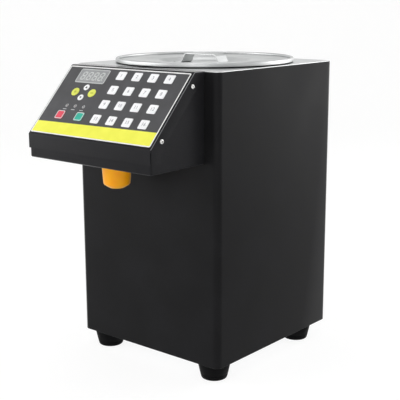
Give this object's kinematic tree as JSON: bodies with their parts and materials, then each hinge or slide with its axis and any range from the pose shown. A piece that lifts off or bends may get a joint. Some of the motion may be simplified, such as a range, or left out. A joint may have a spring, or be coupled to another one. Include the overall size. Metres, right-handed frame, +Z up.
{
  "type": "fructose dispenser",
  "caption": "Counter-top syrup dispenser: black steel cabinet with a lidded stainless tank, a gear pump and a sloping key panel above an orange-hooded outlet.",
  "frame": {"origin": "on the floor, in the middle of the width and of the whole depth", "axes": "+Z up, +Y towards the back, +X to the right seen from the front"},
  "size_m": [0.27, 0.3876, 0.4506],
  "materials": {
    "black_powder_coat": "fine-textured satin powder coat",
    "zinc_plated_steel": "dull zinc plate",
    "stainless_steel": "fine brushed",
    "polished_stainless": "bright polished stainless",
    "black_rubber": "matt moulded",
    "heater_mat": "silicone heater mat",
    "grey_overlay": "fine-textured polyester film",
    "display_film": "grey display film",
    "dark_plastic": "moulded",
    "circuit_board": "solder mask",
    "smoked_lamp": "unlit lamp lens",
    "orange_plastic": "translucent, lightly frosted",
    "cast_aluminium": "machined casting",
    "motor_metal": "smooth",
    "gear_brass": "cut and deburred",
    "food_hose": "milky silicone hose",
    "supply_case": "dull sheet",
    "black_plastic": "moulded",
    "white_key": "satin",
    "yellow_key": "satin",
    "red_key": "satin",
    "green_key": "satin"
  },
  "bodies": {
    "cabinet": {"body_shell": "black_powder_coat", "base_tray": "zinc_plated_steel", "feet": "black_rubber", "foot_screws": "zinc_plated_steel", "top_plate": "stainless_steel", "back_panel": "black_powder_coat", "back_screws": "stainless_steel", "tank": "stainless_steel", "tank_drain": "stainless_steel", "tank_heater": "heater_mat", "head_box": "black_powder_coat", "head_cover": "black_powder_coat", "cover_screws": "stainless_steel", "overlay": "grey_overlay", "display_window": "display_film", "display_module": "dark_plastic", "control_board": "circuit_board", "indicator_lamps": "smoked_lamp", "nozzle_tube": "stainless_steel", "nozzle_nut": "stainless_steel", "nozzle_hood": "orange_plastic", "pump_case": "cast_aluminium", "pump_cover": "stainless_steel", "pump_bracket": "zinc_plated_steel", "pump_motor": "motor_metal", "suction_hose": "food_hose", "delivery_hose": "food_hose", "power_supply": "supply_case", "mains_inlet": "black_plastic", "switch_frame": "black_plastic"},
    "lid": {"lid": "polished_stainless", "lid_collar": "polished_stainless", "lid_handle": "polished_stainless", "lid_seal": "black_rubber"},
    "key_01": {"key_01": "white_key"},
    "key_02": {"key_02": "white_key"},
    "key_03": {"key_03": "white_key"},
    "key_04": {"key_04": "white_key"},
    "key_05": {"key_05": "white_key"},
    "key_06": {"key_06": "white_key"},
    "key_07": {"key_07": "white_key"},
    "key_08": {"key_08": "white_key"},
    "key_09": {"key_09": "white_key"},
    "key_10": {"key_10": "white_key"},
    "key_11": {"key_11": "white_key"},
    "key_12": {"key_12": "white_key"},
    "key_13": {"key_13": "white_key"},
    "key_14": {"key_14": "white_key"},
    "key_15": {"key_15": "white_key"},
    "key_16": {"key_16": "white_key"},
    "key_round_left": {"key_round_left": "yellow_key"},
    "key_round_right": {"key_round_right": "yellow_key"},
    "key_arrow_up": {"key_arrow_up": "white_key"},
    "key_arrow_down": {"key_arrow_down": "white_key"},
    "key_red": {"key_red": "red_key"},
    "key_green": {"key_green": "green_key"},
    "drive_gear": {"drive_gear": "gear_brass"},
    "idler_gear": {"idler_gear": "gear_brass"},
    "switch_rocker": {"switch_rocker": "black_plastic"}
  },
  "joints": [
    {"name": "lid_lift", "type": "slide", "parent": "cabinet", "child": "lid", "axis": [0, 0, 1], "range_m": [0, 0.25]},
    {"name": "key_01_press", "type": "slide", "parent": "cabinet", "child": "key_01", "axis": [0, 0.7267, -0.687], "range_m": [0, 0.0005], "stiffness_N_per_m": 2000},
    {"name": "key_02_press", "type": "slide", "parent": "cabinet", "child": "key_02", "axis": [0, 0.7267, -0.687], "range_m": [0, 0.0005], "stiffness_N_per_m": 2000},
    {"name": "key_03_press", "type": "slide", "parent": "cabinet", "child": "key_03", "axis": [0, 0.7267, -0.687], "range_m": [0, 0.0005], "stiffness_N_per_m": 2000},
    {"name": "key_04_press", "type": "slide", "parent": "cabinet", "child": "key_04", "axis": [0, 0.7267, -0.687], "range_m": [0, 0.0005], "stiffness_N_per_m": 2000},
    {"name": "key_05_press", "type": "slide", "parent": "cabinet", "child": "key_05", "axis": [0, 0.7267, -0.687], "range_m": [0, 0.0005], "stiffness_N_per_m": 2000},
    {"name": "key_06_press", "type": "slide", "parent": "cabinet", "child": "key_06", "axis": [0, 0.7267, -0.687], "range_m": [0, 0.0005], "stiffness_N_per_m": 2000},
    {"name": "key_07_press", "type": "slide", "parent": "cabinet", "child": "key_07", "axis": [0, 0.7267, -0.687], "range_m": [0, 0.0005], "stiffness_N_per_m": 2000},
    {"name": "key_08_press", "type": "slide", "parent": "cabinet", "child": "key_08", "axis": [0, 0.7267, -0.687], "range_m": [0, 0.0005], "stiffness_N_per_m": 2000},
    {"name": "key_09_press", "type": "slide", "parent": "cabinet", "child": "key_09", "axis": [0, 0.7267, -0.687], "range_m": [0, 0.0005], "stiffness_N_per_m": 2000},
    {"name": "key_10_press", "type": "slide", "parent": "cabinet", "child": "key_10", "axis": [0, 0.7267, -0.687], "range_m": [0, 0.0005], "stiffness_N_per_m": 2000},
    {"name": "key_11_press", "type": "slide", "parent": "cabinet", "child": "key_11", "axis": [0, 0.7267, -0.687], "range_m": [0, 0.0005], "stiffness_N_per_m": 2000},
    {"name": "key_12_press", "type": "slide", "parent": "cabinet", "child": "key_12", "axis": [0, 0.7267, -0.687], "range_m": [0, 0.0005], "stiffness_N_per_m": 2000},
    {"name": "key_13_press", "type": "slide", "parent": "cabinet", "child": "key_13", "axis": [0, 0.7267, -0.687], "range_m": [0, 0.0005], "stiffness_N_per_m": 2000},
    {"name": "key_14_press", "type": "slide", "parent": "cabinet", "child": "key_14", "axis": [0, 0.7267, -0.687], "range_m": [0, 0.0005], "stiffness_N_per_m": 2000},
    {"name": "key_15_press", "type": "slide", "parent": "cabinet", "child": "key_15", "axis": [0, 0.7267, -0.687], "range_m": [0, 0.0005], "stiffness_N_per_m": 2000},
    {"name": "key_16_press", "type": "slide", "parent": "cabinet", "child": "key_16", "axis": [0, 0.7267, -0.687], "range_m": [0, 0.0005], "stiffness_N_per_m": 2000},
    {"name": "key_round_left_press", "type": "slide", "parent": "cabinet", "child": "key_round_left", "axis": [0, 0.7267, -0.687], "range_m": [0, 0.0005], "stiffness_N_per_m": 2000},
    {"name": "key_round_right_press", "type": "slide", "parent": "cabinet", "child": "key_round_right", "axis": [0, 0.7267, -0.687], "range_m": [0, 0.0005], "stiffness_N_per_m": 2000},
    {"name": "key_arrow_up_press", "type": "slide", "parent": "cabinet", "child": "key_arrow_up", "axis": [0, 0.7267, -0.687], "range_m": [0, 0.0005], "stiffness_N_per_m": 2000},
    {"name": "key_arrow_down_press", "type": "slide", "parent": "cabinet", "child": "key_arrow_down", "axis": [0, 0.7267, -0.687], "range_m": [0, 0.0005], "stiffness_N_per_m": 2000},
    {"name": "key_red_press", "type": "slide", "parent": "cabinet", "child": "key_red", "axis": [0, 0.7267, -0.687], "range_m": [0, 0.0005], "stiffness_N_per_m": 2000},
    {"name": "key_green_press", "type": "slide", "parent": "cabinet", "child": "key_green", "axis": [0, 0.7267, -0.687], "range_m": [0, 0.0005], "stiffness_N_per_m": 2000},
    {"name": "drive_gear_spin", "type": "hinge", "parent": "cabinet", "child": "drive_gear", "pos_m": [0.012, -0.06485, 0.078], "axis": [0, 1, 0], "continuous": true},
    {"name": "idler_gear_spin", "type": "hinge", "parent": "cabinet", "child": "idler_gear", "pos_m": [0.012, -0.06485, 0.102], "axis": [0, 1, 0], "continuous": true},
    {"name": "switch_rock", "type": "hinge", "parent": "cabinet", "child": "switch_rocker", "pos_m": [0.016, 0.18825, 0.08], "axis": [-1, 0, 0], "range_deg": [0, 20]}
  ],
  "couplings": [
    {"joint": "idler_gear_spin", "follows": "drive_gear_spin", "ratio": -1}
  ]
}
